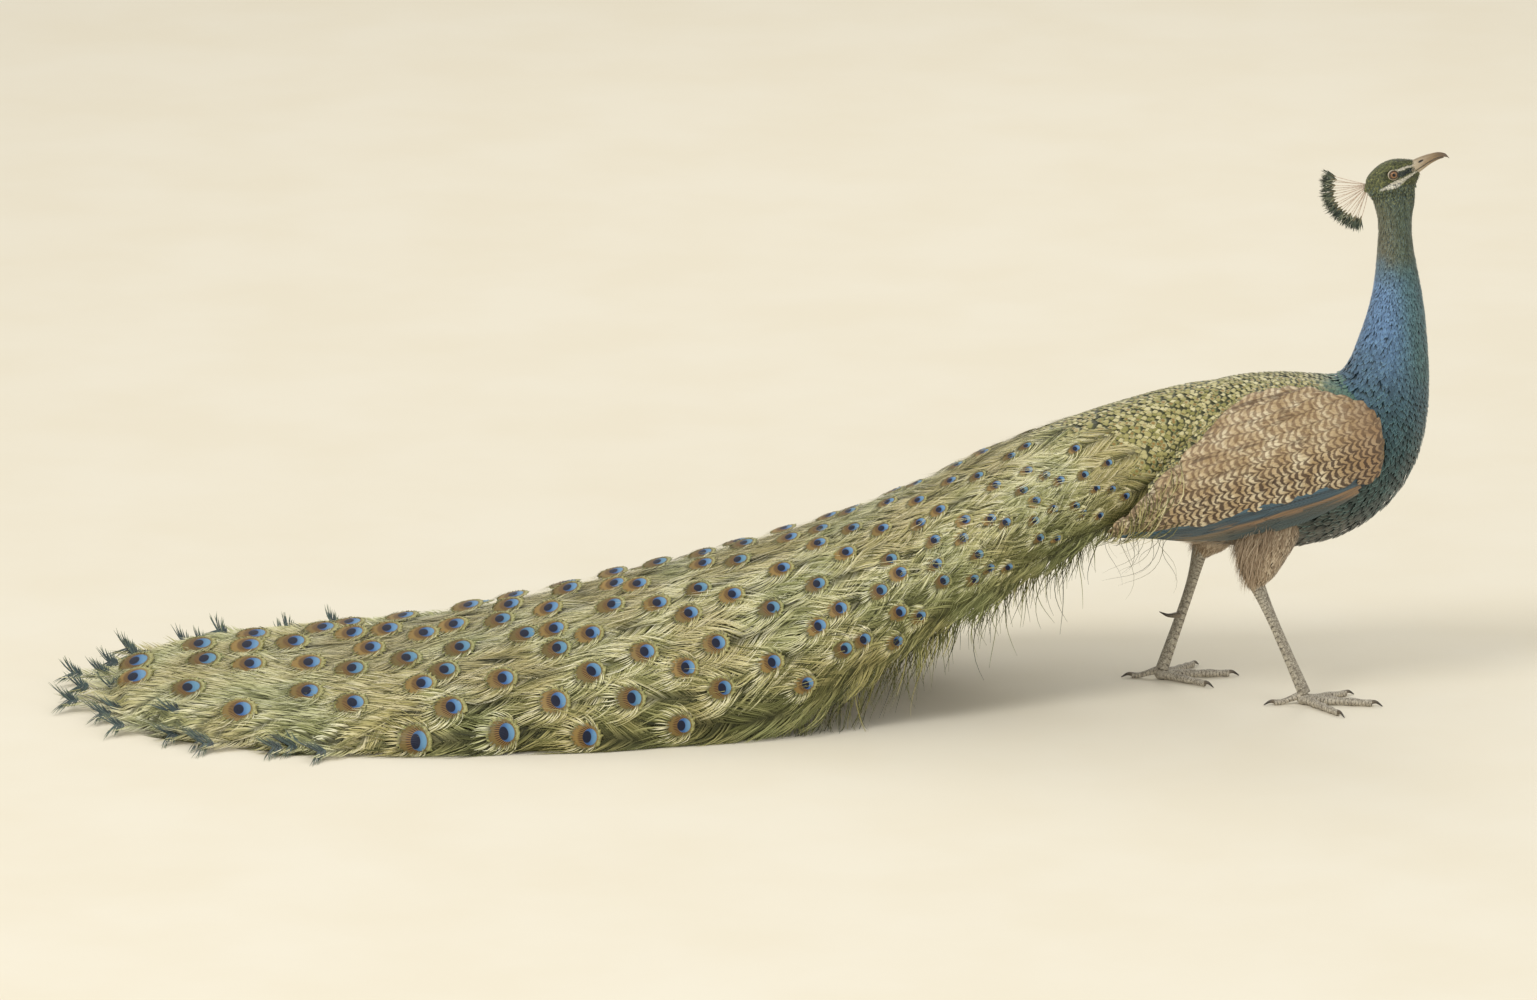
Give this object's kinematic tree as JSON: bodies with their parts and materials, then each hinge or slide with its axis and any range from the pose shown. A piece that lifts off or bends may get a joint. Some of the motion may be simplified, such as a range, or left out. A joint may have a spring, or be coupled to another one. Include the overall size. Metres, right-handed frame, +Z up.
{
  "type": "peacock",
  "caption": "Life-size still Indian peacock in mid-stride, head raised, fan crest spread, wings folded and the long eyed train trailing on the floor behind it.",
  "frame": {"origin": "on the floor, under the middle of the bird's bounding box", "axes": "+X forward, the way the bird faces and the train trails away from; +Y to the bird's left; +Z up"},
  "size_m": [1.8448, 0.638, 0.7437],
  "materials": {
    "head_feathers": "short close feathers, dark olive green with yellow-green flecks, white bare skin above and below the eye",
    "neck_feathers": "fine close feathers, cobalt to steel blue with a soft sheen",
    "breast_feathers": "fine close feathers, deep teal with a soft sheen, brown-black on the belly",
    "back_feathers": "scale-shaped golden-green feathers with dark edges",
    "wing_coverts": "buff feathers barred with dark brown",
    "wing_flight": "slate blue and chestnut flight feathers",
    "train_feathers": "loose olive-green and bronze barbs with blue and copper eyes",
    "tail_feathers": "stiff grey-brown feathers",
    "thigh_feathers": "hair-like buff-brown feathers",
    "crest_feathers": "bare pale shafts ending in small dark blue-green fans",
    "bill_horn": "smooth horn, grey-brown, satin",
    "claw_horn": "smooth dark horn, satin",
    "leg_skin": "scaled grey skin, matt",
    "eye": "wet polished eye, brown iris and black pupil"
  },
  "bodies": {
    "root": {"bill_lower": "bill_horn", "bill_upper": "bill_horn", "breast": "breast_feathers", "claw_left_hind": "claw_horn", "claw_left_inner": "claw_horn", "claw_left_middle": "claw_horn", "claw_left_outer": "claw_horn", "claw_right_hind": "claw_horn", "claw_right_inner": "claw_horn", "claw_right_middle": "claw_horn", "claw_right_outer": "claw_horn", "crest": "crest_feathers", "eye_left": "eye", "eye_right": "eye", "head": "head_feathers", "neck_lower": "neck_feathers", "neck_upper": "neck_feathers", "shank_left": "leg_skin", "shank_right": "leg_skin", "spur_left": "claw_horn", "spur_right": "claw_horn", "tail": "tail_feathers", "thigh_left": "thigh_feathers", "thigh_right": "thigh_feathers", "toe_left_hind": "leg_skin", "toe_left_inner": "leg_skin", "toe_left_middle": "leg_skin", "toe_left_outer": "leg_skin", "toe_right_hind": "leg_skin", "toe_right_inner": "leg_skin", "toe_right_middle": "leg_skin", "toe_right_outer": "leg_skin", "train_1": "train_feathers", "train_2": "train_feathers", "train_3": "train_feathers", "train_4": "train_feathers", "train_5": "train_feathers", "trunk": "back_feathers", "wing_left_coverts": "wing_coverts", "wing_left_flight": "wing_flight", "wing_right_coverts": "wing_coverts", "wing_right_flight": "wing_flight"}
  },
  "joints": []
}
